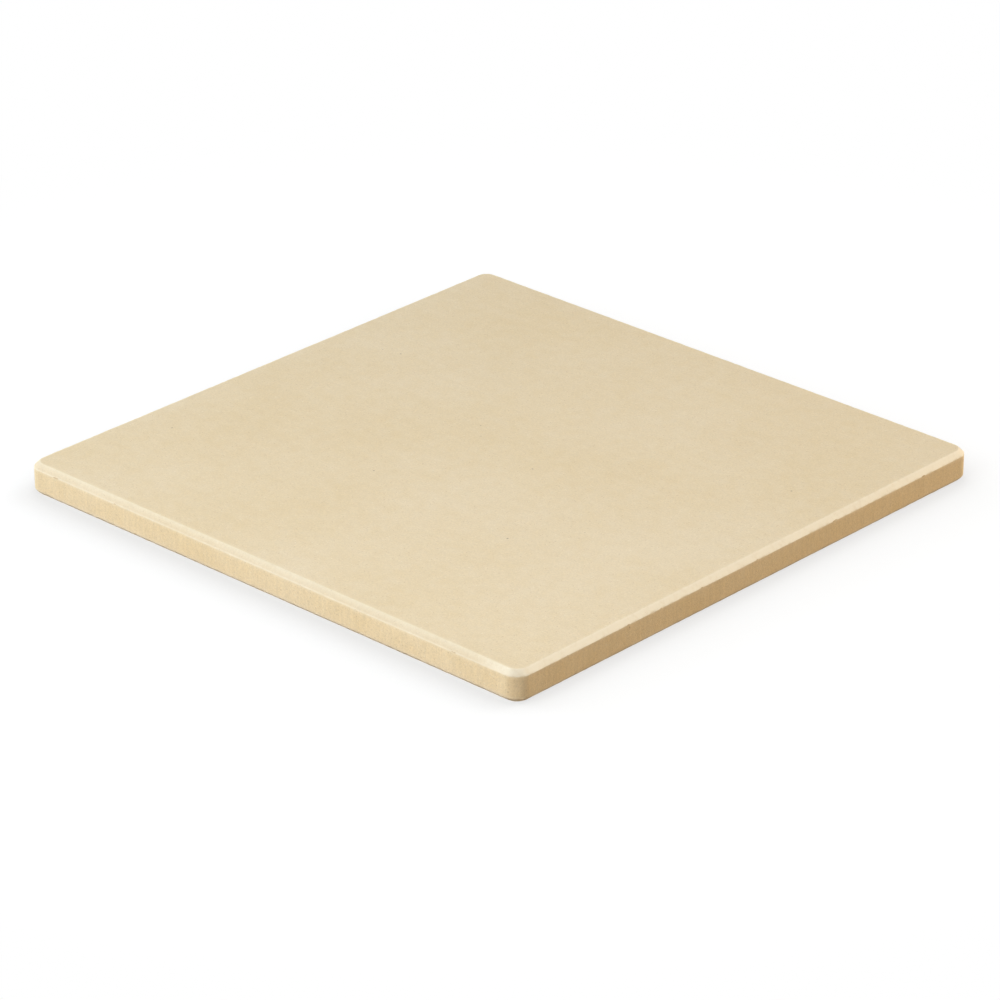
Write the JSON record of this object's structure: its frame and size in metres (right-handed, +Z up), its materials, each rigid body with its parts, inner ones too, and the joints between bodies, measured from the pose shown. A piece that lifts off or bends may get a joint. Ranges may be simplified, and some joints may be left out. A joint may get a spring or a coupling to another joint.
{
  "type": "pizza stone",
  "caption": "Flat square ceramic baking stone with a bevelled top edge and rounded corners, laid on an oven rack or grill to bake pizza and bread.",
  "frame": {"origin": "centre of the flat underside that the stone rests on", "axes": "+Z up through the slab towards the baking face; +X and +Y along its two pairs of sides, which are alike"},
  "size_m": [0.3, 0.3, 0.015],
  "materials": {
    "cordierite": "matte"
  },
  "bodies": {
    "root": {"stone_slab": "cordierite"}
  },
  "joints": []
}
